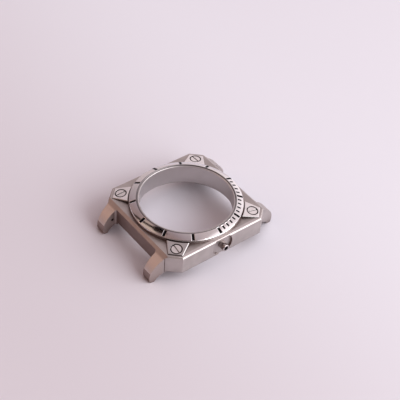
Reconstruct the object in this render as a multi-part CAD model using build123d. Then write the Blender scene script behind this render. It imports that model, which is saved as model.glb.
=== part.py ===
from build123d import *
import math
import os

# An empty wristwatch case with square shoulders, in millimetres.
# The origin is on the bore's axis, in the plane of the underside where a case back seats.
# +X points to the crown side, +Y to 12 o'clock, +Z up through the crystal opening.

# Bores, from the crystal opening down to the case back
movement_bore_radius = 15.15
back_bore_step = 1.25
back_bore_height = 3.4
back_seat_step = 0.9
back_seat_depth = 1.0
mouth_bevel = 0.1

# Middle case, its outer block
case_height = 6.7
side_margin = 0.8
end_margin = 1.25
corner_leg_x = 3.75
corner_leg_y = 4.1
top_edge_chamfer = 0.35
end_edge_chamfer = 0.85
bottom_edge_round = 0.8

# Lugs
strap_gap = 22.0
lug_root_width = 3.95
lug_tip_width = 3.4
lug_length = 4.9
lug_bend_drop = 1.7
lug_shoulder_height = 0.85
lug_shoulder_setback = 0.35
lug_tip_middle_height = -0.6
lug_tip_low_height = -2.3
lug_tip_low_setback = 0.12
lug_tip_drop = 2.9
lug_foot_setback = 0.6
lug_foot_length = 1.1
lug_back_bulge_depth = 0.3
lug_arch_depth = 0.5
lug_flare_length = 0.8
lug_inner_corner_radius = 0.8
lug_root_depth = 2.4
lug_groove_width = 0.22
lug_groove_depth = 0.3
spring_bar_radius = 0.5
spring_bar_depth = 1.3
spring_bar_distance = 1.3
spring_bar_height = 1.85

# Seat of the rotating bezel: neck, collar, channel and low outer wall
neck_wall = 0.4
neck_height = 2.2
collar_wall = 1.05
collar_height = 1.35
channel_width = 1.4
channel_depth = 0.15
seat_wall = 0.5
seat_wall_height = 0.65
running_clearance = 0.08
lift_clearance = 0.1

# Rotating bezel
bezel_overhang = 0.15
bezel_rise = 0.22
bezel_slope_angle = 22.0
bezel_bevel = 0.16
bezel_edge_bevel = 0.1
bezel_rim_gap = 0.4
bezel_skirt_thickness = 0.47
click_teeth = 60
click_tooth_depth = 0.21
click_tooth_margin = 0.1
click_notch_share = 0.8

# Minute marks cut into the bezel and filled with lacquer
mark_depth = 0.2
lacquer_gap = 0.04
bold_mark_edge_gap = 0.27
bold_mark_length = 1.68
bold_mark_width = 0.62
fine_mark_edge_gap = 0.95
fine_mark_length = 0.88
fine_mark_width = 0.36
bold_mark_count = 12
fine_marks_between = 4
marked_intervals = 3

# Retaining wire, slip ring and click spring under the bezel
wire_width = 0.42
wire_depth = 0.5
wire_gap_angle = 14.0
wire_groove_clearance = 0.03
slip_ring_thickness = 0.25
slip_clearance = 0.05
click_leaf_thickness = 0.15
click_leaf_width = 0.56
click_tip_teeth = 7
click_tongue_length = 3.2
click_tongue_bite_depth = 0.1
click_tab_length = 1.0
click_tab_depth = 0.6

# Corner plates and their screws
plate_corner_distance = 1.02
plate_outer_half_width = 2.29
plate_splay_angle = 13.3
plate_bezel_gap = 0.3
plate_tilt_angle = 8.0
plate_edge_chamfer = 0.18
plate_pocket_depth = 0.9
plate_clearance = 0.05
screw_edge_distance = 2.27
screw_face_rise = 0.58
screw_head_radius = 1.78
screw_head_height = 0.75
screw_head_clearance = 0.16
screw_head_recess = 0.04
screw_slot_width = 0.4
screw_slot_depth = 0.35
screw_shank_radius = 0.95
screw_shank_length = 3.4
screw_thread_clearance = 0.05
screw_thread_sides = 12
screw_slot_angle_right = 35.4
screw_slot_angle_top = 43.4
screw_slot_angle_left = 41.6
screw_slot_angle_front = 39.9

# Crown tube and its recess in the crown side
crown_height = 3.8
crown_recess_radius = 3.85
crown_recess_depth = 0.7
crown_recess_lip_thickness = 0.2
tube_bore_radius = 0.75
tube_root_radius = 1.0
tube_sleeve_radius = 1.2
tube_length_outside = 1.8
tube_root_setback = 0.15
tube_rim_chamfer = 0.12
tube_seat_clearance = 0.02
pin_hole_radius = 0.24
pin_hole_depth = 0.5
pin_hole_gap = 0.1
pin_hole_angle = 237.0

# One overrun serves every cut
overrun = 1.0

# Radii, each from the one inside it
neck_radius = movement_bore_radius + neck_wall
collar_radius = movement_bore_radius + collar_wall
channel_radius = collar_radius + channel_width
seat_radius = channel_radius + seat_wall
bezel_radius = seat_radius + bezel_overhang
back_bore_radius = movement_bore_radius + back_bore_step
back_seat_radius = back_bore_radius + back_seat_step
bezel_neck_radius = neck_radius + running_clearance
bezel_bore_radius = collar_radius + running_clearance
bezel_skirt_radius = bezel_bore_radius + bezel_skirt_thickness
click_tooth_inner_radius = bezel_skirt_radius + click_tooth_margin
click_tooth_outer_radius = channel_radius - click_tooth_margin
wire_ring_radius = (collar_radius + bezel_bore_radius) / 2
wire_groove = wire_width / 2 + wire_groove_clearance

# Heights over the underside
channel_floor = case_height - channel_depth
seat_top = case_height + seat_wall_height
collar_top = case_height + collar_height
neck_top = case_height + neck_height
bezel_top = neck_top + bezel_rise
bezel_rim_bottom = seat_top + bezel_rim_gap
bezel_skirt_bottom = channel_floor + slip_ring_thickness + slip_clearance
click_tooth_height = seat_top + lift_clearance
wire_height = collar_top - wire_depth
slope_drop = math.tan(math.radians(bezel_slope_angle))

# Outline of the block and the places of what it carries
case_half_width = bezel_radius + side_margin
case_half_length = bezel_radius + end_margin
lug_tip_reach = case_half_length + lug_length
corner_x = case_half_width - corner_leg_x
corner_y = case_half_length - corner_leg_y
corner_share = (case_half_length - corner_x) / (corner_leg_x + corner_leg_y)
corner_reach = math.sqrt(2) * (corner_x + corner_leg_x * corner_share)
plate_inner_radius = bezel_radius + plate_bezel_gap
plate_outer_reach = corner_reach - plate_corner_distance
screw_reach = plate_outer_reach - screw_edge_distance
recess_floor = case_half_width - crown_recess_depth
tube_end = case_half_width + tube_length_outside
quarter_turn_angle = 90.0


def corners():
    """Name, turn about the bore's axis and screw slot angle of each corner."""
    slot_angles = {
        "right": screw_slot_angle_right,
        "top": screw_slot_angle_top,
        "left": screw_slot_angle_left,
        "front": screw_slot_angle_front,
    }
    first = quarter_turn_angle / 2
    return [
        (name, first + quarter_turn_angle * index, slot_angles[name])
        for index, name in enumerate(slot_angles)
    ]


def face_height(radius):
    """Height of the bezel's marked cone at a radius."""
    return bezel_top - (radius - bezel_neck_radius - bezel_bevel) * slope_drop


def turned(outline):
    """Solid of revolution of a radius-height outline about the bore's axis."""
    return revolve(make_face(Polyline(*outline, close=True).edges()), Axis.Z)


def flat_points(*points):
    """Radius-height pairs placed in the XZ plane."""
    return [(radius, 0, height) for radius, height in points]


def disc(radius, bottom, top):
    """Cylinder on the bore's axis between two heights."""
    return Pos(0, 0, bottom) * extrude(Circle(radius), top - bottom)


def octagon():
    """Outline of the block: a rectangle with its corners cut off."""
    corners = [
        (case_half_width, corner_y),
        (corner_x, case_half_length),
        (-corner_x, case_half_length),
        (-case_half_width, corner_y),
        (-case_half_width, -corner_y),
        (-corner_x, -case_half_length),
        (corner_x, -case_half_length),
        (case_half_width, -corner_y),
    ]
    return Polygon(*corners, align=None)


def case_block():
    """Octagonal block with rounded lower edges and bevelled upper edges."""
    block = extrude(octagon(), case_height)
    block = chamfer(block.faces().sort_by(Axis.Z)[-1].edges(), top_edge_chamfer)
    block = fillet(block.faces().sort_by(Axis.Z)[0].edges(), bottom_edge_round)
    for side in (1, -1):
        block -= end_bevel(side)
    return block


def end_bevel(side):
    """Wedge that widens the bevel above the strap gap, in the plane of the lug's first facet."""
    start = case_half_length - end_edge_chamfer
    reach = end_edge_chamfer + overrun
    corners = [
        (0, side * start, case_height),
        (0, side * (start + reach), case_height - reach),
        (0, side * (start + reach), case_height + overrun),
        (0, side * start, case_height + overrun),
    ]
    wedge = extrude(make_face(Polyline(*corners, close=True).edges()), case_half_width, both=True)
    return wedge


def lug_side_view():
    """Side view of a 12 o'clock lug: facet, bend, falling back, tip and arched underside."""
    root = case_half_length - end_edge_chamfer
    inner = case_half_length - lug_root_depth
    bend = (root + lug_bend_drop, case_height - lug_bend_drop)
    shoulder = (lug_tip_reach - lug_shoulder_setback, lug_shoulder_height)
    back_middle = (
        (bend[0] + shoulder[0]) / 2 + lug_back_bulge_depth,
        (bend[1] + shoulder[1]) / 2 + lug_back_bulge_depth,
    )
    tip_middle = (lug_tip_reach, lug_tip_middle_height)
    tip_low = (lug_tip_reach - lug_tip_low_setback, lug_tip_low_height)
    foot_start = (lug_tip_reach - lug_foot_setback, -lug_tip_drop)
    foot_end = (foot_start[0] - lug_foot_length, -lug_tip_drop)
    belly = (case_half_length - bottom_edge_round, 0)
    arch_middle = (
        (foot_end[0] + belly[0]) / 2,
        (foot_end[1] + belly[1]) / 2 + lug_arch_depth,
    )

    def place(point):
        return (0, point[0], point[1])

    tip = ThreePointArc(place(shoulder), place(tip_middle), place(tip_low))
    edges = [
        Line(place((inner, case_height)), place((root, case_height))),
        Line(place((root, case_height)), place(bend)),
        ThreePointArc(place(bend), place(back_middle), place(shoulder)),
        tip,
        TangentArc(tip @ 1, place(foot_start), tangent=tip % 1),
        Line(place(foot_start), place(foot_end)),
        ThreePointArc(place(foot_end), place(arch_middle), place(belly)),
        Line(place(belly), place((inner, 0))),
        Line(place((inner, 0)), place((inner, case_height))),
    ]
    return make_face([edge.edge() for edge in edges])


def lug_plan():
    """Plan of the lug beside the crown at 12 o'clock, narrowing from its root to its tip."""
    gap = strap_gap / 2
    inner = case_half_length - lug_root_depth
    corner_start = (gap, case_half_length + lug_inner_corner_radius)
    corner_end = (gap - lug_inner_corner_radius, case_half_length)
    flare_start = (gap + lug_root_width, case_half_length + lug_flare_length)
    flare_end = (corner_x, case_half_length)
    tip = (gap + lug_tip_width, lug_tip_reach)
    toward_block = (flare_start[0] - tip[0], flare_start[1] - tip[1])
    edges = [
        Line((gap, lug_tip_reach), tip),
        Line(tip, flare_start),
        TangentArc(flare_start, flare_end, tangent=toward_block),
        Line(flare_end, (corner_x, inner)),
        Line((corner_x, inner), (corner_end[0], inner)),
        Line((corner_end[0], inner), corner_end),
        TangentArc(corner_start, corner_end, tangent=(0, -1)),
        Line(corner_start, (gap, lug_tip_reach)),
    ]
    return make_face([edge.edge() for edge in edges])


def lug():
    """The lug beside the crown at 12 o'clock, its side view and plan intersected."""
    shape = extrude(lug_side_view(), case_half_width, dir=(1, 0, 0))
    shape &= Pos(0, 0, -lug_tip_drop) * extrude(lug_plan(), lug_tip_drop + case_height)
    hole = Pos(strap_gap / 2, case_half_length + spring_bar_distance, spring_bar_height) * Rot(0, 90, 0)
    return shape - hole * Cylinder(
        spring_bar_radius, spring_bar_depth, align=(Align.CENTER, Align.CENTER, Align.MIN)
    )


def lug_groove():
    """Relief groove down the corner where the lug's flare meets the block's cut-off corner."""
    lean = math.degrees(math.atan2(corner_leg_y, corner_leg_x))
    height = case_height - end_edge_chamfer + lug_tip_drop
    place = Pos(corner_x, case_half_length, -lug_tip_drop) * Rot(0, 0, 90 - lean)
    return place * Box(
        2 * lug_groove_depth, lug_groove_width, height, align=(Align.CENTER, Align.CENTER, Align.MIN)
    )


def bezel_seat():
    """Neck, collar and low outer wall that carry the bezel, standing on the block."""
    collar = flat_points(
        (movement_bore_radius, channel_floor),
        (collar_radius, channel_floor),
        (collar_radius, wire_height - wire_groove),
        (collar_radius - wire_groove, wire_height - wire_groove),
        (collar_radius - wire_groove, wire_height + wire_groove),
        (collar_radius, wire_height + wire_groove),
        (collar_radius, collar_top),
        (neck_radius, collar_top),
        (neck_radius, neck_top),
        (movement_bore_radius, neck_top),
    )
    outer_wall = flat_points(
        (channel_radius, channel_floor),
        (seat_radius, channel_floor),
        (seat_radius, seat_top),
        (channel_radius, seat_top),
    )
    return turned(collar) + turned(outer_wall)


def channel():
    """Ring of metal taken out of the block for the click spring and slip ring."""
    return disc(channel_radius, channel_floor, case_height + overrun) - disc(
        collar_radius, channel_floor - overrun, case_height + 2 * overrun
    )


def case_bore():
    """Everything turned out of the block from the crystal opening to the case back seat."""
    outline = flat_points(
        (0, -overrun),
        (back_seat_radius, -overrun),
        (back_seat_radius, back_seat_depth),
        (back_bore_radius, back_seat_depth),
        (back_bore_radius, back_bore_height),
        (movement_bore_radius, back_bore_height),
        (movement_bore_radius, neck_top - mouth_bevel),
        (movement_bore_radius + mouth_bevel + overrun, neck_top + overrun),
        (0, neck_top + overrun),
    )
    return turned(outline)


def crown_side_cuts():
    """Round recess that runs out below, tube hole and small blind hole in the recess floor."""
    along_x = Rot(0, 90, 0)
    from_end = (Align.CENTER, Align.CENTER, Align.MIN)
    recess = Pos(recess_floor, 0, crown_height) * along_x * Cylinder(
        crown_recess_radius, crown_recess_depth + overrun, align=from_end
    )
    under_lip = Pos(recess_floor, 0, case_height - crown_recess_lip_thickness) * Box(
        crown_recess_depth + overrun, 2 * crown_recess_radius, case_height + overrun,
        align=(Align.MIN, Align.CENTER, Align.MAX)
    )
    hole_length = recess_floor - movement_bore_radius + 2 * overrun
    tube_hole = Pos(movement_bore_radius - overrun, 0, crown_height) * along_x * Cylinder(
        tube_root_radius + tube_seat_clearance, hole_length, align=from_end
    )
    reach = crown_recess_radius - pin_hole_gap - pin_hole_radius
    angle = math.radians(pin_hole_angle)
    pin_hole = Pos(
        recess_floor - pin_hole_depth, reach * math.cos(angle), crown_height + reach * math.sin(angle)
    ) * along_x * Cylinder(pin_hole_radius, pin_hole_depth + overrun, align=from_end)
    return [recess & under_lip, tube_hole, pin_hole]


def plate_outline(clearance):
    """Plan of a corner plate on +X: a trapezoid that ends on an arc round the bezel."""
    splay = math.tan(math.radians(plate_splay_angle))
    outer = plate_outer_reach + clearance
    inner = plate_inner_radius * math.cos(math.radians(plate_splay_angle)) - 2 * clearance
    outer_half = plate_outer_half_width + clearance
    inner_half = outer_half + (outer - inner) * splay
    corners = [(outer, -outer_half), (outer, outer_half), (inner, inner_half), (inner, -inner_half)]
    return Polygon(*corners, align=None) - Circle(plate_inner_radius - clearance)


def screw_axis():
    """Frame at the middle of a +X screw head, its Z square to the tilted plate face."""
    return Pos(screw_reach, 0, case_height + screw_face_rise) * Rot(0, plate_tilt_angle, 0)


def thread_prism(clearance, depth):
    """Many-sided prism under the head's middle that stands for the thread."""
    section = RegularPolygon(screw_shank_radius + clearance, screw_thread_sides)
    return extrude(section, -depth)


def corner_plate():
    """Wedge-shaped plate of the +X corner, counterbored for its screw."""
    blank = Pos(0, 0, case_height - plate_pocket_depth) * extrude(plate_outline(0), case_height)
    reach = 2 * plate_inner_radius
    above = screw_axis() * Box(reach, reach, reach, align=(Align.CENTER, Align.CENTER, Align.MIN))
    plate = blank - above
    face = plate.faces().sort_by(Axis.Z)[-1]
    plate = chamfer(face.edges(), plate_edge_chamfer)
    head_depth = screw_head_height + screw_head_recess
    counterbore = screw_axis() * Pos(0, 0, -head_depth) * Cylinder(
        screw_head_radius + screw_head_clearance, head_depth + overrun,
        align=(Align.CENTER, Align.CENTER, Align.MIN)
    )
    through = screw_axis() * thread_prism(2 * screw_thread_clearance, screw_shank_length)
    return plate - counterbore - through


def corner_pocket():
    """Pocket that seats the +X plate, with the hole that its screw bites in."""
    floor = Pos(0, 0, case_height - plate_pocket_depth)
    pocket = floor * extrude(plate_outline(plate_clearance), case_height)
    depth = screw_head_recess + screw_head_height + screw_shank_length + screw_thread_clearance
    return [pocket, screw_axis() * thread_prism(screw_thread_clearance, depth)]


def corner_screw(slot_angle):
    """Flat slotted screw of the +X corner, its head just under the plate face."""
    head = Cylinder(screw_head_radius, screw_head_height, align=(Align.CENTER, Align.CENTER, Align.MAX))
    slot = Rot(0, 0, slot_angle) * Pos(0, 0, -screw_slot_depth) * Box(
        2 * screw_head_radius + overrun, screw_slot_width, screw_slot_depth + overrun,
        align=(Align.CENTER, Align.CENTER, Align.MIN)
    )
    shank = thread_prism(0, screw_head_height + screw_shank_length)
    return screw_axis() * Pos(0, 0, -screw_head_recess) * (head + shank - slot)


def mid_case():
    """The one-piece middle: block, four lugs, bezel seat, bores, pockets and crown side."""
    body = case_block()
    first_lug = lug()
    for turn_x in (1, -1):
        for turn_y in (1, -1):
            placed = first_lug
            if turn_x < 0:
                placed = mirror(placed, Plane.YZ)
            if turn_y < 0:
                placed = mirror(placed, Plane.XZ)
            body += placed
    groove = lug_groove()
    body -= [groove, mirror(groove, Plane.YZ), mirror(groove, Plane.XZ), Rot(0, 0, 180) * groove]
    body -= channel()
    body += bezel_seat()
    body -= case_bore()
    for _, turn, _ in corners():
        for cut in corner_pocket():
            body -= Rot(0, 0, turn) * cut
    for cut in crown_side_cuts():
        body -= cut
    body -= click_tab(plate_clearance)
    return body


def crown_tube():
    """Tube pressed into the crown side: a slim root and a wider sleeve with a bevelled rim."""
    root = back_bore_radius + tube_root_setback
    outline = [
        (root, 0, tube_bore_radius),
        (root, 0, tube_root_radius),
        (recess_floor, 0, tube_root_radius),
        (recess_floor, 0, tube_sleeve_radius),
        (tube_end - tube_rim_chamfer, 0, tube_sleeve_radius),
        (tube_end, 0, tube_sleeve_radius - tube_rim_chamfer),
        (tube_end, 0, tube_bore_radius),
    ]
    profile = make_face(Polyline(*outline, close=True).edges())
    return Pos(0, 0, crown_height) * revolve(profile, Axis.X)


def bezel_body():
    """Turned bezel before its marks and click teeth are cut."""
    outline = flat_points(
        (bezel_neck_radius, bezel_top - bezel_bevel),
        (bezel_neck_radius + bezel_bevel, bezel_top),
        (bezel_radius - bezel_edge_bevel, face_height(bezel_radius - bezel_edge_bevel)),
        (bezel_radius, face_height(bezel_radius) - bezel_edge_bevel),
        (bezel_radius, bezel_rim_bottom),
        (channel_radius + seat_wall / 2, click_tooth_height),
        (bezel_skirt_radius, click_tooth_height),
        (bezel_skirt_radius, bezel_skirt_bottom),
        (bezel_bore_radius, bezel_skirt_bottom),
        (bezel_bore_radius, wire_height - wire_groove),
        (bezel_bore_radius + wire_groove, wire_height - wire_groove),
        (bezel_bore_radius + wire_groove, wire_height + wire_groove),
        (bezel_bore_radius, wire_height + wire_groove),
        (bezel_bore_radius, collar_top + lift_clearance),
        (bezel_neck_radius, collar_top + lift_clearance),
    )
    return turned(outline)


def click_notch():
    """One V-shaped notch between two click teeth, on +X."""
    half = math.pi * click_tooth_outer_radius / click_teeth * click_notch_share
    corners = [
        (click_tooth_inner_radius, -half, click_tooth_height),
        (click_tooth_inner_radius, 0, click_tooth_height + click_tooth_depth),
        (click_tooth_inner_radius, half, click_tooth_height),
    ]
    face = make_face(Polyline(*corners, close=True).edges())
    return extrude(face, click_tooth_outer_radius - click_tooth_inner_radius, dir=(1, 0, 0))


def mark_block(start, length, width, sink):
    """Block along the bezel's slope on +X, its top `sink` under the marked cone."""
    middle = start + length / 2
    place = Pos(middle, 0, face_height(middle)) * Rot(0, bezel_slope_angle, 0)
    height = mark_depth + (overrun if sink == 0 else -sink)
    along_slope = length / math.cos(math.radians(bezel_slope_angle))
    return place * Pos(0, 0, -mark_depth) * Box(
        along_slope, width, height, align=(Align.CENTER, Align.CENTER, Align.MIN)
    )


def bold_marks(sink):
    """A mark every five minutes all round the bezel."""
    start = bezel_radius - bold_mark_edge_gap - bold_mark_length
    block = mark_block(start, bold_mark_length, bold_mark_width, sink)
    step = 360 / bold_mark_count
    return [Rot(0, 0, 90 - step * index) * block for index in range(bold_mark_count)]


def fine_marks(sink):
    """Single minutes over the first quarter of an hour, between the bold marks."""
    start = bezel_radius - fine_mark_edge_gap - fine_mark_length
    block = mark_block(start, fine_mark_length, fine_mark_width, sink)
    step = 360 / bold_mark_count
    minute = step / (fine_marks_between + 1)
    marks = []
    for interval in range(marked_intervals):
        for index in range(1, fine_marks_between + 1):
            marks.append(Rot(0, 0, 90 - step * interval - minute * index) * block)
    return marks


def bezel_ring():
    """Rotating bezel with its engraved marks and a ratchet of click teeth underneath."""
    ring = bezel_body()
    ring -= bold_marks(0) + fine_marks(0)
    notch = click_notch()
    notches = [Rot(0, 0, 360 / click_teeth * index) * notch for index in range(click_teeth)]
    return ring - notches


def retaining_wire():
    """Split square wire, half in the collar's groove and half in the bezel's."""
    section = Pos(wire_ring_radius, 0, wire_height) * Rot(90, 0, 0) * Rectangle(wire_width, wire_width)
    return Rot(0, 0, wire_gap_angle / 2) * revolve(section, Axis.Z, 360 - wire_gap_angle)


def slip_ring():
    """Flat slip ring that lies on the channel floor under the bezel's skirt."""
    return disc(bezel_skirt_radius, channel_floor, channel_floor + slip_ring_thickness) - disc(
        bezel_bore_radius, channel_floor - overrun, channel_floor + overrun
    )


def click_tab(clearance):
    """Tab at the middle of the click spring, bent down into a slot at 9 o'clock."""
    middle = (click_tooth_inner_radius + click_tooth_outer_radius) / 2
    return Pos(-middle, 0, channel_floor + clearance) * Box(
        click_leaf_thickness + 2 * clearance,
        click_tab_length + 2 * clearance,
        click_tab_depth + 2 * clearance,
        align=(Align.CENTER, Align.CENTER, Align.MAX)
    )


def click_tongue(middle, half):
    """End of the click spring on +X, ramped up along the arc into a click tooth."""
    top = click_tooth_height + click_tongue_bite_depth
    corners = [
        (middle - 2 * half, 0, channel_floor),
        (middle - 2 * half, click_tongue_length, top - click_leaf_thickness),
        (middle - 2 * half, click_tongue_length, top),
        (middle - 2 * half, 0, channel_floor + click_leaf_thickness),
    ]
    ramp = extrude(make_face(Polyline(*corners, close=True).edges()), 4 * half, dir=(1, 0, 0))
    track = disc(middle + half, channel_floor, top) - disc(middle - half, channel_floor, top)
    return ramp & track


def click_spring():
    """Arc-shaped leaf in the channel, its two ends bent up into the click teeth."""
    middle = (click_tooth_inner_radius + click_tooth_outer_radius) / 2
    half = click_leaf_width / 2
    tip_angle = click_tip_teeth * 360 / click_teeth
    leaf_angle = tip_angle - math.degrees(math.asin(click_tongue_length / middle))
    section = flat_points(
        (middle - half, channel_floor),
        (middle + half, channel_floor),
        (middle + half, channel_floor + click_leaf_thickness),
        (middle - half, channel_floor + click_leaf_thickness),
    )
    section = make_face(Polyline(*section, close=True).edges())
    leaf = Rot(0, 0, 180 - leaf_angle) * revolve(section, Axis.Z, 2 * leaf_angle)
    tongue = Rot(0, 0, 180 + leaf_angle) * click_tongue(middle, half)
    return leaf + tongue + mirror(tongue, Plane.XZ) + click_tab(0)


def write(name, shape):
    """Save one named piece, or one group of like pieces."""
    solids = shape if isinstance(shape, list) else shape.solids()
    piece = solids[0] if len(solids) == 1 else Compound(children=list(solids))
    piece.label = name
    export_step(piece, os.path.join("parts", name + ".step"))
    print(f"{name:20s} {len(solids)} solid(s), {sum(solid.volume for solid in solids):9.2f} mm3")


def main():
    os.makedirs("parts", exist_ok=True)
    write("mid_case", mid_case())
    write("bezel_ring", bezel_ring())
    write("bezel_bold_marks", [mark.solids()[0] for mark in bold_marks(lacquer_gap)])
    write("bezel_fine_marks", [mark.solids()[0] for mark in fine_marks(lacquer_gap)])
    write("retaining_wire", retaining_wire())
    write("slip_ring", slip_ring())
    write("click_spring", click_spring())
    write("crown_tube", crown_tube())
    plate = corner_plate()
    screws = []
    for name, turn, slot_angle in corners():
        write(f"corner_plate_{name}", Rot(0, 0, turn) * plate)
        screws += (Rot(0, 0, turn) * corner_screw(slot_angle)).solids()
    write("corner_screws", screws)


main()
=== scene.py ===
import bpy
import bmesh
import math
from mathutils import Matrix, Vector

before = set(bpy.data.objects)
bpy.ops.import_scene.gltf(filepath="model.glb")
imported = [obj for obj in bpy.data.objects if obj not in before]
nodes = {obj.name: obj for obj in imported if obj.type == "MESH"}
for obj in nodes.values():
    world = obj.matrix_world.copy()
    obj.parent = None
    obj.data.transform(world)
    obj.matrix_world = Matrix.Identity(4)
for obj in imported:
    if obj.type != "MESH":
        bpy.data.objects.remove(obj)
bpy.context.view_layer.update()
print("frame loaded")

mm = 0.001

# Camera, placed as for the photo (lengths in mm, angles in degrees)
cameraSetup = {
    "position": (190.92, -156.16, 239.95),
    "azimuth": 49.722,
    "elevation": 43.183,
    "roll": 4.251,
    "lens": 95.98,
    "sensor": 36.0,
    "clipStart": 10.0,
}


def makeCamera(setup):
    azimuth = math.radians(setup["azimuth"])
    elevation = math.radians(setup["elevation"])
    roll = math.radians(setup["roll"])
    back = Vector((
        math.sin(azimuth) * math.cos(elevation),
        -math.cos(azimuth) * math.cos(elevation),
        math.sin(elevation),
    ))
    right = Vector((math.cos(azimuth), math.sin(azimuth), 0))
    up = back.cross(right)
    rolledRight = right * math.cos(roll) + up * math.sin(roll)
    rolledUp = up * math.cos(roll) - right * math.sin(roll)
    turn = Matrix((rolledRight, rolledUp, back)).transposed().to_4x4()
    data = bpy.data.cameras.new("camera")
    data.lens = setup["lens"]
    data.sensor_width = setup["sensor"]
    data.sensor_fit = "HORIZONTAL"
    data.clip_start = setup["clipStart"] * mm
    camera = bpy.data.objects.new("camera", data)
    camera.matrix_world = Matrix.Translation(Vector(setup["position"]) * mm) @ turn
    bpy.context.scene.collection.objects.link(camera)
    bpy.context.scene.camera = camera


makeCamera(cameraSetup)
print("camera placed")


# Small helpers for node trees
def addNode(tree, kind, **settings):
    node = tree.nodes.new(kind)
    for key, value in settings.items():
        setattr(node, key, value)
    return node


def feed(tree, value, socket):  # a plain value is set, another node's socket is linked
    if isinstance(value, (int, float, tuple)):
        socket.default_value = value
    else:
        tree.links.new(value, socket)


def mathNode(tree, operation, first, second=None, clamp=False):
    node = addNode(tree, "ShaderNodeMath", operation=operation, use_clamp=clamp)
    feed(tree, first, node.inputs[0])
    if second is not None:
        feed(tree, second, node.inputs[1])
    return node.outputs[0]


def vectorNode(tree, operation, first, second=None):
    node = addNode(tree, "ShaderNodeVectorMath", operation=operation)
    feed(tree, first, node.inputs[0])
    if second is not None:
        feed(tree, second, node.inputs[1])
    return node.outputs["Value"]


def rangeNode(tree, value, low, high, toLow=0.0, toHigh=1.0):
    node = addNode(tree, "ShaderNodeMapRange", interpolation_type="SMOOTHSTEP")
    limits = {"Value": value, "From Min": low, "From Max": high, "To Min": toLow, "To Max": toHigh}
    for name, limit in limits.items():
        feed(tree, limit, node.inputs[name])
    return node.outputs["Result"]


mixSockets = {"factor": 0, "first": 6, "second": 7, "result": 2}  # the colour ones


def mixColour(tree, factor, first, second):
    node = addNode(tree, "ShaderNodeMix", data_type="RGBA")
    feed(tree, factor, node.inputs[mixSockets["factor"]])
    for name, colour in (("first", first), ("second", second)):
        feed(tree, (*colour, 1) if isinstance(colour, tuple) else colour, node.inputs[mixSockets[name]])
    return node.outputs[mixSockets["result"]]


def layColour(tree, base, mask, share, colour):
    return mixColour(tree, mathNode(tree, "MULTIPLY", mask, share), base, colour)


def noiseNode(tree, place, scale, detail):
    node = addNode(tree, "ShaderNodeTexNoise")
    feed(tree, place, node.inputs["Vector"])
    feed(tree, scale, node.inputs["Scale"])
    feed(tree, detail, node.inputs["Detail"])
    return node.outputs["Fac"]


def splitPlace(tree, place):
    node = addNode(tree, "ShaderNodeSeparateXYZ")
    feed(tree, place, node.inputs[0])
    return node.outputs


def reachNode(tree, first, second):  # how far out two lengths at right angles come
    squares = mathNode(
        tree, "ADD",
        mathNode(tree, "MULTIPLY", first, first),
        mathNode(tree, "MULTIPLY", second, second),
    )
    return mathNode(tree, "SQRT", squares)


def crispMask(tree, depth, blur):  # 1 inside an outline, 0 outside it
    return mathNode(tree, "ADD", mathNode(tree, "DIVIDE", depth, blur), 0.5, clamp=True)


def grainyNode(tree, middle, grain, spread):  # a value that the grain moves up and down
    fine = mathNode(tree, "MULTIPLY", mathNode(tree, "SUBTRACT", grain, 0.5), spread)
    return mathNode(tree, "ADD", middle, fine)


def newMaterial(name):
    material = bpy.data.materials.new(name)
    material.use_nodes = True
    tree = material.node_tree
    return material, tree, tree.nodes["Principled BSDF"]


def newGroup(name, inputs, outputs):
    group = bpy.data.node_groups.new(name, "ShaderNodeTree")
    for socketName, kind, value in inputs:
        socket = group.interface.new_socket(socketName, in_out="INPUT", socket_type=kind)
        if value is not None:
            socket.default_value = value
    for socketName, kind in outputs:
        group.interface.new_socket(socketName, in_out="OUTPUT", socket_type=kind)
    return group, group.nodes.new("NodeGroupInput").outputs, group.nodes.new("NodeGroupOutput").inputs


def useGroup(tree, group, **values):
    node = addNode(tree, "ShaderNodeGroup", node_tree=group)
    for name, value in values.items():
        feed(tree, value, node.inputs[name])
    return node.outputs


# How the shared finishes, painted highlights and painted shade are drawn (lengths in metres)
finishSetup = {
    "grainDetail": 2.0,
    "cloudDetail": 3.0,
    "cloudFrom": 0.3,
    "cloudTo": 0.7,
    "lineDetail": 3.0,
    "lineTurn": 2.0,
    "edgeSamples": 6,
    "edgeFrom": 0.995,
    "edgeTo": 0.86,
    "hollowSamples": 8,
    "cornerFrom": 0.78,
    "cornerTo": 0.25,
    "shelterFrom": 0.85,
    "shelterTo": 0.2,
    "turnedFrom": 0.2,
    "facingFrom": 0.45,
    "facingTo": 0.9,
    "pastBlur": 0.0006,
    "outlineBlur": 0.00004,
    "ringBlur": 0.00008,
    "quarterInset": 0.001,
    "roughSpread": 0.25,
    "skyPower": 4.0,
}


# Blasted steel: a fine even grain with faint clouds
def makeBlastedGrain():
    group, source, out = newGroup(
        "blastedGrain",
        [("Place", "NodeSocketVector", None), ("Grains", "NodeSocketFloat", 6500.0),
         ("Clouds", "NodeSocketFloat", 260.0)],
        [("Grain", "NodeSocketFloat"), ("Cloud", "NodeSocketFloat")],
    )
    grain = noiseNode(group, source["Place"], source["Grains"], finishSetup["grainDetail"])
    cloud = noiseNode(group, source["Place"], source["Clouds"], finishSetup["cloudDetail"])
    feed(group, grain, out["Grain"])
    feed(group, cloud, out["Cloud"])
    return group


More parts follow.
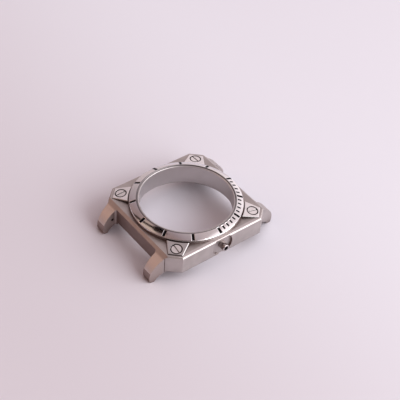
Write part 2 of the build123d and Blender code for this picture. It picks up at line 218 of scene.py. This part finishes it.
# Turned steel: fine lines that run round the bore's axis
def makeTurnedLines():
    group, source, out = newGroup(
        "turnedLines",
        [("Place", "NodeSocketVector", None), ("Lines", "NodeSocketFloat", 9000.0)],
        [("Line", "NodeSocketFloat")],
    )
    split = splitPlace(group, source["Place"])
    radius = reachNode(group, split["X"], split["Y"])
    angle = mathNode(group, "ARCTAN2", split["Y"], split["X"])
    around = addNode(group, "ShaderNodeCombineXYZ")
    feed(group, mathNode(group, "MULTIPLY", radius, source["Lines"]), around.inputs["X"])
    feed(group, mathNode(group, "MULTIPLY", split["Z"], source["Lines"]), around.inputs["Y"])
    feed(group, mathNode(group, "MULTIPLY", angle, finishSetup["lineTurn"]), around.inputs["Z"])
    feed(group, noiseNode(group, around.outputs[0], 1.0, finishSetup["lineDetail"]), out["Line"])
    return group


def hollowNode(tree, reach):
    node = addNode(tree, "ShaderNodeAmbientOcclusion", samples=finishSetup["hollowSamples"])
    feed(tree, reach, node.inputs["Distance"])
    return node.outputs["AO"]


# Edges that handling has polished, with a painted highlight on them, and painted shade in the corners
def makeEdgesAndCorners():
    group, source, out = newGroup(
        "edgesAndCorners",
        [("Radius", "NodeSocketFloat", 0.00012), ("Depth", "NodeSocketFloat", 0.0006)],
        [("Edge", "NodeSocketFloat"), ("Corner", "NodeSocketFloat"), ("Normal", "NodeSocketVector")],
    )
    rounded = addNode(group, "ShaderNodeBevel", samples=finishSetup["edgeSamples"])
    feed(group, source["Radius"], rounded.inputs["Radius"])
    flat = addNode(group, "ShaderNodeNewGeometry").outputs["Normal"]
    turned = vectorNode(group, "DOT_PRODUCT", rounded.outputs["Normal"], flat)
    edge = rangeNode(group, turned, finishSetup["edgeFrom"], finishSetup["edgeTo"])
    # painted shade: corners that the occlusion test finds hollow
    hollow = hollowNode(group, source["Depth"])
    cornerShade = rangeNode(group, hollow, finishSetup["cornerFrom"], finishSetup["cornerTo"])
    feed(group, mathNode(group, "MULTIPLY", edge, mathNode(group, "SUBTRACT", 1.0, cornerShade)), out["Edge"])
    feed(group, cornerShade, out["Corner"])
    feed(group, rounded.outputs["Normal"], out["Normal"])
    return group


# How far a place is sheltered by what stands round it, for painted shade on the case and painted contact
# shadow on the table
def makeShelter():
    group, source, out = newGroup(
        "shelter", [("Reach", "NodeSocketFloat", 0.005)], [("Shelter", "NodeSocketFloat")],
    )
    hollow = hollowNode(group, source["Reach"])
    sheltered = rangeNode(group, hollow, finishSetup["shelterFrom"], finishSetup["shelterTo"])
    feed(group, sheltered, out["Shelter"])
    return group


# Faintly domed bezel: its height falls off on both sides of its middle
def makeDome():
    group, source, out = newGroup(
        "dome",
        [("Place", "NodeSocketVector", None), ("Middle", "NodeSocketFloat", 0.0169),
         ("Curve", "NodeSocketFloat", 36.0)],
        [("Height", "NodeSocketFloat")],
    )
    split = splitPlace(group, source["Place"])
    off = mathNode(group, "SUBTRACT", reachNode(group, split["X"], split["Y"]), source["Middle"])
    fall = mathNode(group, "MULTIPLY", mathNode(group, "MULTIPLY", off, off), source["Curve"])
    feed(group, mathNode(group, "MULTIPLY", fall, -1.0), out["Height"])
    return group


# What lies nearer to the bore's axis than a radius
def makeInnerBand():
    group, source, out = newGroup(
        "innerBand",
        [("Place", "NodeSocketVector", None), ("Radius", "NodeSocketFloat", 0.0157)],
        [("Inside", "NodeSocketFloat")],
    )
    split = splitPlace(group, source["Place"])
    depth = mathNode(group, "SUBTRACT", source["Radius"], reachNode(group, split["X"], split["Y"]))
    feed(group, crispMask(group, depth, finishSetup["outlineBlur"]), out["Inside"])
    return group


# Where the minute marks lie on the bezel (mm)
markSetup = {
    "bold": {"count": 12, "middle": 17.14, "length": 1.68, "width": 0.62},
    "fine": {"count": 60, "middle": 16.86, "length": 0.88, "width": 0.36},
}


# Painted shade round the minute marks, widening them as shade in their cut walls does, and how far the steel
# dips to them
def makeMarkRim():
    group, source, out = newGroup(
        "markRim",
        [("Place", "NodeSocketVector", None), ("Spread", "NodeSocketFloat", 0.00006),
         ("Lip", "NodeSocketFloat", 0.00016)],
        [("MarkShade", "NodeSocketFloat"), ("Dip", "NodeSocketFloat")],
    )
    split = splitPlace(group, source["Place"])
    radius = reachNode(group, split["X"], split["Y"])
    angle = mathNode(group, "ARCTAN2", split["Y"], split["X"])

    def insideMark(mark):
        step = 2 * math.pi / mark["count"]
        turns = mathNode(group, "DIVIDE", angle, step)
        off = mathNode(group, "SUBTRACT", turns, mathNode(group, "ROUND", turns))
        arc = mathNode(group, "MULTIPLY", mathNode(group, "MULTIPLY", off, step), radius)
        across = mathNode(group, "SUBTRACT", mark["width"] * mm / 2, mathNode(group, "ABSOLUTE", arc))
        end = mathNode(group, "ABSOLUTE", mathNode(group, "SUBTRACT", radius, mark["middle"] * mm))
        along = mathNode(group, "SUBTRACT", mark["length"] * mm / 2, end)
        return mathNode(group, "MINIMUM", across, along)

    bold = insideMark(markSetup["bold"])
    fine = insideMark(markSetup["fine"])
    quarter = mathNode(group, "MINIMUM", split["X"], split["Y"])  # the fine ones fill one quarter
    quarter = mathNode(group, "SUBTRACT", quarter, finishSetup["quarterInset"])
    inside = mathNode(group, "MAXIMUM", bold, mathNode(group, "MINIMUM", fine, quarter))
    inside = mathNode(group, "ADD", inside, source["Spread"])
    feed(group, crispMask(group, inside, finishSetup["outlineBlur"]), out["MarkShade"])
    slope = mathNode(group, "DIVIDE", inside, source["Lip"])
    feed(group, rangeNode(group, slope, -1.0, 0.0), out["Dip"])
    return group


# The part of a piece that lies past a line across it
def makePastLine():
    group, source, out = newGroup(
        "pastLine",
        [("Place", "NodeSocketVector", None), ("Toward", "NodeSocketVector", (0, -1, 0)),
         ("Start", "NodeSocketFloat", 0.0196)],
        [("Past", "NodeSocketFloat")],
    )
    along = vectorNode(group, "DOT_PRODUCT", source["Place"], source["Toward"])
    past = mathNode(group, "SUBTRACT", along, source["Start"])
    feed(group, rangeNode(group, past, 0.0, finishSetup["pastBlur"]), out["Past"])
    return group


# The bent-down tips of the two lugs at 6 o'clock, and the line above them where a painted highlight stands
# in for a crisp edge
def makeLugTip():
    group, source, out = newGroup(
        "lugTip",
        [("Place", "NodeSocketVector", None), ("Top", "NodeSocketFloat", 0.00085),
         ("Line", "NodeSocketFloat", 0.00022)],
        [("Tip", "NodeSocketFloat"), ("Rim", "NodeSocketFloat")],
    )
    over = mathNode(group, "SUBTRACT", splitPlace(group, source["Place"])["Z"], source["Top"])
    halfLine = mathNode(group, "MULTIPLY", source["Line"], 0.5)
    feed(group, mathNode(group, "LESS_THAN", over, 0.0), out["Tip"])
    feed(group, mathNode(group, "LESS_THAN", mathNode(group, "ABSOLUTE", over), halfLine), out["Rim"])
    return group


# How squarely a face looks one way
def makeFacing():
    group, source, out = newGroup(
        "facing",
        [("Toward", "NodeSocketVector", (0, -1, 0))],
        [("Facing", "NodeSocketFloat"), ("Turned", "NodeSocketFloat")],
    )
    normal = addNode(group, "ShaderNodeTexCoord").outputs["Normal"]
    squarely = vectorNode(group, "DOT_PRODUCT", normal, source["Toward"])
    faced = rangeNode(group, squarely, finishSetup["facingFrom"], finishSetup["facingTo"])
    turned = rangeNode(group, squarely, finishSetup["turnedFrom"], finishSetup["facingFrom"])
    feed(group, faced, out["Facing"])
    feed(group, turned, out["Turned"])
    return group


# Painted shade: a dark ring where a screw head meets its plate, the same at all four corners
def makeScrewRing():
    group, source, out = newGroup(
        "screwRing",
        [("Place", "NodeSocketVector", None), ("Reach", "NodeSocketFloat", 0.02118),
         ("Inner", "NodeSocketFloat", 0.0017), ("Outer", "NodeSocketFloat", 0.00205)],
        [("Ring", "NodeSocketFloat")],
    )
    split = splitPlace(group, source["Place"])
    alongX = mathNode(group, "ABSOLUTE", split["X"])
    alongY = mathNode(group, "ABSOLUTE", split["Y"])
    diagonal = math.sqrt(0.5)
    outward = mathNode(group, "MULTIPLY", mathNode(group, "ADD", alongX, alongY), diagonal)
    across = mathNode(group, "MULTIPLY", mathNode(group, "SUBTRACT", alongX, alongY), diagonal)
    radius = reachNode(group, mathNode(group, "SUBTRACT", outward, source["Reach"]), across)
    pastInner = mathNode(group, "SUBTRACT", radius, source["Inner"])
    beforeOuter = mathNode(group, "SUBTRACT", source["Outer"], radius)
    ring = mathNode(
        group, "MULTIPLY",
        crispMask(group, pastInner, finishSetup["ringBlur"]),
        crispMask(group, beforeOuter, finishSetup["ringBlur"]),
    )
    feed(group, ring, out["Ring"])
    return group


blastedGrain = makeBlastedGrain()
turnedLines = makeTurnedLines()
edgesAndCorners = makeEdgesAndCorners()
shelter = makeShelter()
dome = makeDome()
innerBand = makeInnerBand()
markRim = makeMarkRim()
pastLine = makePastLine()
lugTip = makeLugTip()
facing = makeFacing()
screwRing = makeScrewRing()
print("shared finishes made")

# Metals of the case, each with its colour and polish, and the painted highlights and painted shade it
# carries (lengths in metres)
metalSetup = {
    "caseSteel": {
        "colour": (0.49, 0.445, 0.43), "edgeHighlightColour": (0.74, 0.70, 0.69), "cornerShadeColour": (0.14, 0.10, 0.09),
        "roughness": 0.5, "edgeRoughness": 0.42, "grainDepth": 0.000012, "cloud": 0.07, "grains": 6500.0,
        "edgeRadius": 0.00010, "cornerDepth": 0.0012, "cornerShadeShare": 0.88, "turned": 0.0,
        # bore walls: a smoother turned finish, and a paler colour that is painted light
        "innerRadius": 0.0172, "innerRoughness": 0.4, "innerColour": (0.62, 0.585, 0.58),
        # lugs at 6 o'clock: painted warm light on them, painted shade on their tips and on faces turned to
        # the crown side, and a painted highlight line above the tips
        "pastToward": (0, -1, 0), "pastStart": 0.0196, "pastShadingColour": (0.62, 0.555, 0.53),
        "tipTop": 0.00085, "tipLine": 0.00022, "rimShare": 0.55,
        "sideToward": (1, 0, 0), "sideShare": 0.42, "sideShadeColour": (0.26, 0.175, 0.155),
        # painted shade on faces turned to 6 o'clock
        "facingShadeToward": (-0.35, -0.937, 0), "facingShadeShare": 0.7, "facingShadeColour": (0.18, 0.105, 0.088),
        # painted shade under the bezel and in the bore
        "shelterReach": 0.0065, "shelterShare": 0.9, "shelterShadeColour": (0.15, 0.085, 0.075),
        # open crown side: less painted shade, and painted light on its top faces
        "openToward": (1, 0, 0), "openStart": 0.0174, "openShare": 0.45,
        "skyToward": (0, 0, 1), "skyShare": 0.5, "skyLightColour": (0.88, 0.83, 0.83),
    },
    "plateSteel": {
        "colour": (0.88, 0.85, 0.845), "edgeHighlightColour": (0.95, 0.92, 0.91), "cornerShadeColour": (0.05, 0.034, 0.03),
        "roughness": 0.38, "edgeRoughness": 0.22, "grainDepth": 0.000006, "cloud": 0.06, "grains": 9000.0,
        "edgeRadius": 0.00006, "cornerDepth": 0.0004, "cornerShadeShare": 0.85, "turned": 0.0,
        # painted shade on the front plate, past a line across its corner
        "pastToward": (0.707, -0.707, 0), "pastStart": 0.008, "pastShadingColour": (0.54, 0.515, 0.51),
        # painted shade on plate sides turned toward 4:30
        "wallToward": (0.707, -0.707, 0), "wallShare": 0.85, "wallShadeColour": (0.07, 0.048, 0.043),
    },
    "bezelSteel": {
        "colour": (0.76, 0.735, 0.73), "edgeHighlightColour": (0.88, 0.86, 0.86), "cornerShadeColour": (0.10, 0.075, 0.07),
        "roughness": 0.09, "edgeRoughness": 0.09, "grainDepth": 0.0000003, "cloud": 0.04, "grains": 5000.0,
        "edgeRadius": 0.00006, "cornerDepth": 0.0003, "cornerShadeShare": 0.7, "turned": 0.5,
        # inner wall: rougher, its colour painted dark as shade, then a painted dark line beside it
        "innerRadius": 0.01588, "innerRoughness": 0.42, "innerColour": (0.20, 0.18, 0.18),
        "lineRadius": 0.01608, "lineShare": 0.6, "lineShadeColour": (0.05, 0.05, 0.055),
        "domeMiddle": 0.0169, "domeCurve": 36.0,
        "markShadeSpread": 0.00013, "markShadeColour": (0.003, 0.0025, 0.003),
        "lip": 0.00015, "lipDepth": 0.00005,
    },
    "screwSteel": {
        "colour": (0.84, 0.81, 0.80), "edgeHighlightColour": (0.95, 0.92, 0.91), "cornerShadeColour": (0.03, 0.02, 0.018),
        "roughness": 0.36, "edgeRoughness": 0.22, "grainDepth": 0.000005, "cloud": 0.06, "grains": 9000.0,
        "edgeRadius": 0.00005, "cornerDepth": 0.0005, "cornerShadeShare": 0.9, "turned": 0.0,
        "ringReach": 0.02118, "ringInner": 0.00154, "ringOuter": 0.0021,
    },
    "tubeSteel": {
        "colour": (0.46, 0.41, 0.40), "edgeHighlightColour": (0.7, 0.66, 0.65), "cornerShadeColour": (0.04, 0.026, 0.025),
        "roughness": 0.2, "edgeRoughness": 0.15, "grainDepth": 0.000003, "cloud": 0.05, "grains": 9000.0,
        "edgeRadius": 0.00005, "cornerDepth": 0.0014, "cornerShadeShare": 0.8, "turned": 0.0,
        # the tube's end, painted pale as a highlight
        "pastToward": (1, 0, 0), "pastStart": 0.02072, "pastShadingColour": (0.95, 0.93, 0.92),
    },
    "springSteel": {
        "colour": (0.55, 0.54, 0.53), "edgeHighlightColour": (0.7, 0.69, 0.68), "cornerShadeColour": (0.08, 0.07, 0.07),
        "roughness": 0.28, "edgeRoughness": 0.2, "grainDepth": 0.000003, "cloud": 0.05, "grains": 9000.0,
        "edgeRadius": 0.00004, "cornerDepth": 0.0003, "cornerShadeShare": 0.6, "turned": 0.5,
    },
}


def pastMask(tree, setup, name, place):
    return useGroup(tree, pastLine, Place=place, Toward=setup[name + "Toward"],
                    Start=setup[name + "Start"])["Past"]


# Painted light and painted shade on the case, from its corners to its lugs
def shadeCase(tree, setup, place, cornerShade, past, colour):
    opened = pastMask(tree, setup, "open", place)
    kept = rangeNode(tree, opened, 0.0, 1.0, 1.0, 1.0 - setup["openShare"])
    # painted shade in the corners, lighter on the open crown side
    colour = layColour(tree, colour, cornerShade, kept, setup["cornerShadeColour"])

    # painted light on the top faces of the open crown side
    upward = useGroup(tree, facing, Toward=setup["skyToward"])["Facing"]
    skyward = mathNode(tree, "POWER", upward, finishSetup["skyPower"])
    skyward = mathNode(tree, "MULTIPLY", skyward, opened)
    colour = layColour(tree, colour, skyward, setup["skyShare"], setup["skyLightColour"])
    # painted shade where the case is sheltered, lighter on the open crown side
    sheltered = useGroup(tree, shelter, Reach=setup["shelterReach"])["Shelter"]
    sheltered = mathNode(tree, "MULTIPLY", sheltered, setup["shelterShare"])
    colour = layColour(tree, colour, sheltered, kept, setup["shelterShadeColour"])

    # painted shade on faces turned to 6 o'clock and on the lug tips, and a painted highlight line above the
    # tips
    faced = useGroup(tree, facing, Toward=setup["facingShadeToward"])
    tipped = useGroup(tree, lugTip, Place=place, Top=setup["tipTop"], Line=setup["tipLine"])
    facingShade = mathNode(tree, "MAXIMUM", mathNode(tree, "SUBTRACT", 1.0, past), tipped["Tip"])
    facingShade = mathNode(tree, "MULTIPLY", faced["Facing"], facingShade)
    colour = layColour(tree, colour, facingShade, setup["facingShadeShare"], setup["facingShadeColour"])
    rim = mathNode(tree, "MULTIPLY", mathNode(tree, "MULTIPLY", tipped["Rim"], faced["Turned"]), past)
    colour = layColour(tree, colour, rim, setup["rimShare"], setup["edgeHighlightColour"])
    # painted shade on the lugs' faces turned to the crown side
    sided = useGroup(tree, facing, Toward=setup["sideToward"])["Facing"]
    side = mathNode(tree, "MULTIPLY", sided, past)
    return layColour(tree, colour, side, setup["sideShare"], setup["sideShadeColour"])


# Clouded steel with a painted highlight on its edges and painted shade in its corners, then the painted
# light and shade that one metal alone has
def metalColour(tree, setup, place, cloud, edges):
    tone = rangeNode(tree, cloud, finishSetup["cloudFrom"], finishSetup["cloudTo"],
                     1.0 - setup["cloud"], 1.0 + setup["cloud"])
    clouded = addNode(tree, "ShaderNodeVectorMath", operation="SCALE")
    feed(tree, setup["colour"], clouded.inputs[0])
    feed(tree, tone, clouded.inputs["Scale"])
    colour = clouded.outputs[0]
    # past a line, a painted colour: warm light on the lugs, shade on the front plate, a highlight on the
    # tube's end
    if "pastShadingColour" in setup:
        past = pastMask(tree, setup, "past", place)
        colour = mixColour(tree, past, colour, setup["pastShadingColour"])
    # painted highlight on the edges, then painted shade in the corners
    colour = mixColour(tree, edges["Edge"], colour, setup["edgeHighlightColour"])
    cornerShade = mathNode(tree, "MULTIPLY", edges["Corner"], setup["cornerShadeShare"])
    if "shelterShadeColour" in setup:
        colour = shadeCase(tree, setup, place, cornerShade, past, colour)
    else:
        colour = mixColour(tree, cornerShade, colour, setup["cornerShadeColour"])
    # painted shade on faces turned one way, such as the plates' sides
    if "wallShadeColour" in setup:
        walled = useGroup(tree, facing, Toward=setup["wallToward"])["Facing"]
        colour = layColour(tree, colour, walled, setup["wallShare"], setup["wallShadeColour"])
    # painted shade ring round the screw heads
    if "ringReach" in setup:
        ring = useGroup(tree, screwRing, Place=place, Reach=setup["ringReach"],
                        Inner=setup["ringInner"], Outer=setup["ringOuter"])["Ring"]
        colour = mixColour(tree, ring, colour, setup["cornerShadeColour"])
    return colour


def metalRoughness(tree, setup, grain, edge):
    rough = grainyNode(tree, setup["roughness"], grain, finishSetup["roughSpread"])
    polish = mathNode(tree, "MULTIPLY", edge, setup["roughness"] - setup["edgeRoughness"])
    return mathNode(tree, "SUBTRACT", rough, polish, clamp=True)


# Blasted grain and turned lines, in the shares that the metal has of each
def metalHeight(tree, setup, place, grain):
    line = useGroup(tree, turnedLines, Place=place)["Line"]
    return mathNode(
        tree, "ADD",
        mathNode(tree, "MULTIPLY", grain, (1.0 - setup["turned"]) * setup["grainDepth"]),
        mathNode(tree, "MULTIPLY", line, setup["turned"] * setup["grainDepth"]),
    )


def makeMetal(name, setup):
    material, tree, shader = newMaterial(name)
    place = addNode(tree, "ShaderNodeTexCoord").outputs["Object"]
    grain = useGroup(tree, blastedGrain, Place=place, Grains=setup["grains"])
    edges = useGroup(tree, edgesAndCorners, Radius=setup["edgeRadius"], Depth=setup["cornerDepth"])
    colour = metalColour(tree, setup, place, grain["Cloud"], edges)
    rough = metalRoughness(tree, setup, grain["Grain"], edges["Edge"])
    height = metalHeight(tree, setup, place, grain["Grain"])

    # walls facing the bore get their own roughness, and a colour painted as light on the case and as shade
    # on the bezel
    if "innerRadius" in setup:  # walls that face the bore
        inside = useGroup(tree, innerBand, Place=place, Radius=setup["innerRadius"])["Inside"]
        colour = mixColour(tree, inside, colour, setup["innerColour"])
        rough = rangeNode(tree, inside, 0.0, 1.0, rough, setup["innerRoughness"])
    # painted shade: a dark line just outside those walls
    if "lineRadius" in setup:  # dark line just outside those walls
        line = useGroup(tree, innerBand, Place=place, Radius=setup["lineRadius"])["Inside"]
        line = mathNode(tree, "SUBTRACT", line, inside)
        colour = layColour(tree, colour, line, setup["lineShare"], setup["lineShadeColour"])
    # the bezel's marks with painted shade round them, and its dome
    if "markShadeSpread" in setup:  # the bezel's marks and dome
        marked = useGroup(tree, markRim, Place=place, Spread=setup["markShadeSpread"], Lip=setup["lip"])
        colour = mixColour(tree, marked["MarkShade"], colour, setup["markShadeColour"])
        domed = useGroup(tree, dome, Place=place, Middle=setup["domeMiddle"], Curve=setup["domeCurve"])
        height = mathNode(tree, "ADD", height, domed["Height"])
        dip = mathNode(tree, "MULTIPLY", marked["Dip"], setup["lipDepth"])
        height = mathNode(tree, "SUBTRACT", height, dip)

    bump = addNode(tree, "ShaderNodeBump")
    bump.inputs["Strength"].default_value = 1.0
    bump.inputs["Distance"].default_value = 1.0
    feed(tree, height, bump.inputs["Height"])
    feed(tree, edges["Normal"], bump.inputs["Normal"])
    feed(tree, colour, shader.inputs["Base Color"])
    feed(tree, rough, shader.inputs["Roughness"])
    feed(tree, bump.outputs["Normal"], shader.inputs["Normal"])
    shader.inputs["Metallic"].default_value = 1.0
    return material


metals = {name: makeMetal(name, setup) for name, setup in metalSetup.items()}
print("metals made")

# Lacquer in the minute marks and the rubber-like slip ring
darkSetup = {
    "lacquer": {
        "colour": (0.003, 0.0025, 0.003), "speck": (0.012, 0.011, 0.012),
        "roughness": 0.5, "shine": 0.06,
    },
    "gasket": {
        "colour": (0.018, 0.018, 0.018), "speck": (0.05, 0.05, 0.05),
        "roughness": 0.65, "shine": 0.4,
    },
}
speckSetup = {
    "grains": 5000.0, "clouds": 900.0, "from": 0.55, "to": 0.75,
    "roughSpread": 0.2, "depth": 0.000004,
}


def makeDark(name, setup):
    material, tree, shader = newMaterial(name)
    place = addNode(tree, "ShaderNodeTexCoord").outputs["Object"]
    grain = useGroup(tree, blastedGrain, Place=place, Grains=speckSetup["grains"],
                     Clouds=speckSetup["clouds"])
    speck = rangeNode(tree, grain["Cloud"], speckSetup["from"], speckSetup["to"])
    rough = grainyNode(tree, setup["roughness"], grain["Grain"], speckSetup["roughSpread"])
    bump = addNode(tree, "ShaderNodeBump")
    bump.inputs["Distance"].default_value = speckSetup["depth"]
    feed(tree, grain["Grain"], bump.inputs["Height"])
    feed(tree, mixColour(tree, speck, setup["colour"], setup["speck"]), shader.inputs["Base Color"])
    feed(tree, rough, shader.inputs["Roughness"])
    feed(tree, bump.outputs["Normal"], shader.inputs["Normal"])
    shader.inputs["Specular IOR Level"].default_value = setup["shine"]
    return material


darks = {name: makeDark(name, setup) for name, setup in darkSetup.items()}

finishOf = {
    "mid_case": metals["caseSteel"],
    "bezel_ring": metals["bezelSteel"],
    "bezel_bold_marks": darks["lacquer"],
    "bezel_fine_marks": darks["lacquer"],
    "retaining_wire": metals["springSteel"],
    "slip_ring": darks["gasket"],
    "click_spring": metals["springSteel"],
    "crown_tube": metals["tubeSteel"],
    "corner_plate_right": metals["plateSteel"],
    "corner_plate_top": metals["plateSteel"],
    "corner_plate_left": metals["plateSteel"],
    "corner_plate_front": metals["plateSteel"],
    "corner_screws": metals["screwSteel"],
}

for node, material in finishOf.items():
    nodes[node].data.materials.clear()
    nodes[node].data.materials.append(material)
print("finishes given")

# Table top under the lugs, painted paler toward the far right where more light falls, with a painted contact
# shadow (lengths in metres)
floorSetup = {
    "halfSize": 3.0,
    "height": -0.0029,
    "nearDimColour": (0.73, 0.69, 0.745),
    "farLitColour": (0.865, 0.865, 0.94),
    "toward": (0, 1, 0),
    "from": -0.075,
    "to": 0.075,
    "contactReach": 0.006,
    "contactShare": 0.5,
    "contactShadowColour": (0.42, 0.34, 0.36),
    "boreFrom": 0.0165,
    "boreTo": 0.0225,
    "roughness": 0.85,
    "shine": 0.2,
}


def makeFloor(setup):
    mesh = bpy.data.meshes.new("tableTop")
    shape = bmesh.new()
    bmesh.ops.create_grid(shape, x_segments=1, y_segments=1, size=setup["halfSize"])
    bmesh.ops.translate(shape, verts=shape.verts, vec=(0, 0, setup["height"]))
    shape.to_mesh(mesh)
    shape.free()
    floor = bpy.data.objects.new("tableTop", mesh)
    bpy.context.scene.collection.objects.link(floor)
    material, tree, shader = newMaterial("tableTop")
    place = addNode(tree, "ShaderNodeTexCoord").outputs["Object"]
    # painted light: the table's colour grows paler toward 12 o'clock
    along = vectorNode(tree, "DOT_PRODUCT", place, setup["toward"])
    tone = rangeNode(tree, along, setup["from"], setup["to"])
    colour = mixColour(tree, tone, setup["nearDimColour"], setup["farLitColour"])
    # painted contact shadow next to the case, left out inside the bore
    contactShadow = useGroup(tree, shelter, Reach=setup["contactReach"])["Shelter"]
    outOfBore = rangeNode(tree, vectorNode(tree, "LENGTH", place), setup["boreFrom"], setup["boreTo"])
    contactShadow = mathNode(tree, "MULTIPLY", contactShadow, outOfBore)
    colour = layColour(tree, colour, contactShadow, setup["contactShare"], setup["contactShadowColour"])
    feed(tree, colour, shader.inputs["Base Color"])
    shader.inputs["Roughness"].default_value = setup["roughness"]
    shader.inputs["Specular IOR Level"].default_value = setup["shine"]
    mesh.materials.append(material)


makeFloor(floorSetup)
print("table made")

# One soft lamp at the right, and a room whose tones change from 6 to 12 o'clock (angles in degrees)
lampSetup = {"position": (0.80, 0.48, 0.36), "size": 1.25, "power": 10.8, "colour": (0.97, 1.0, 1.02)}
roomSetup = {
    "toward": (0.10, 0.98, -0.10),
    "tones": [
        (-1.00, (0.32, 0.21, 0.18)),
        (-0.60, (0.32, 0.215, 0.19)),
        (-0.25, (0.36, 0.26, 0.26)),
        (-0.14, (0.39, 0.31, 0.335)),
        (0.00, (0.50, 0.42, 0.44)),
        (0.17, (0.64, 0.535, 0.55)),
        (0.40, (0.75, 0.655, 0.68)),
        (0.66, (0.92, 0.82, 0.85)),
        (0.77, (1.12, 1.02, 1.06)),
        (0.85, (1.30, 1.20, 1.25)),
        (1.00, (1.30, 1.20, 1.25)),
    ],
    "patches": [
        {"toward": (0.75, 0.50, 0.43), "inner": 41, "outer": 47, "colour": (1.34, 1.24, 1.28)},
        {"toward": (0.558, -0.473, 0.682), "inner": 12, "outer": 36, "colour": (0.12, 0.10, 0.10)},
        {"toward": (-0.52, -0.66, 0.54), "inner": 8, "outer": 28, "colour": (1.12, 0.73, 0.585)},
        {"toward": (-0.45, -0.35, 0.82), "inner": 9, "outer": 15, "colour": (0.64, 0.49, 0.42)},
        {"toward": (-0.31, -0.17, 0.935), "inner": 4.5, "outer": 7.5, "colour": (0.0, 0.0, 0.0)},
    ],
    "streak": {"normal": (-0.215, 0.969, 0.126), "toward": (-0.50, -0.20, 0.84), "half": 0.019, "edge": 0.03,
               "inner": 18, "outer": 23, "colour": (0.02, 0.01, 0.008)},
}


def makeLamp(name, setup):
    data = bpy.data.lights.new(name, "AREA")
    data.shape = "DISK"
    data.size = setup["size"]
    data.energy = setup["power"]
    data.color = setup["colour"]
    lamp = bpy.data.objects.new(name, data)
    place = Vector(setup["position"])
    lamp.location = place
    lamp.rotation_euler = (-place).to_track_quat("-Z", "Y").to_euler()
    bpy.context.scene.collection.objects.link(lamp)


# How far a direction lies off one that the room names, as a cosine
def offWay(tree, direction, way):
    return vectorNode(tree, "DOT_PRODUCT", direction, tuple(Vector(way).normalized()))


def patchMask(tree, direction, patch):
    inner = math.cos(math.radians(patch["inner"]))
    outer = math.cos(math.radians(patch["outer"]))
    return rangeNode(tree, offWay(tree, direction, patch["toward"]), outer, inner)


def makeRoom(setup):
    world = bpy.data.worlds.new("room")
    world.use_nodes = True
    tree = world.node_tree
    direction = addNode(tree, "ShaderNodeTexCoord").outputs["Generated"]
    across = vectorNode(tree, "DOT_PRODUCT", direction, setup["toward"])
    ramp = addNode(tree, "ShaderNodeValToRGB")
    stops = ramp.color_ramp.elements
    while len(stops) < len(setup["tones"]):
        stops.new(1.0)
    for stop, (place, tone) in zip(stops, setup["tones"]):
        stop.position = place / 2 + 0.5
        stop.color = (*tone, 1)
    feed(tree, mathNode(tree, "ADD", mathNode(tree, "MULTIPLY", across, 0.5), 0.5), ramp.inputs["Fac"])
    colour = ramp.outputs["Color"]
    for patch in setup["patches"]:
        colour = mixColour(tree, patchMask(tree, direction, patch), colour, patch["colour"])
    streak = setup["streak"]
    away = mathNode(tree, "ABSOLUTE", offWay(tree, direction, streak["normal"]))
    band = rangeNode(tree, away, streak["half"] + streak["edge"], streak["half"])
    colour = layColour(tree, colour, band, patchMask(tree, direction, streak), streak["colour"])
    feed(tree, colour, tree.nodes["Background"].inputs["Color"])
    bpy.context.scene.world = world


makeLamp("softLamp", lampSetup)
makeRoom(roomSetup)
bpy.context.scene.view_settings.view_transform = "Standard"
print("light set")
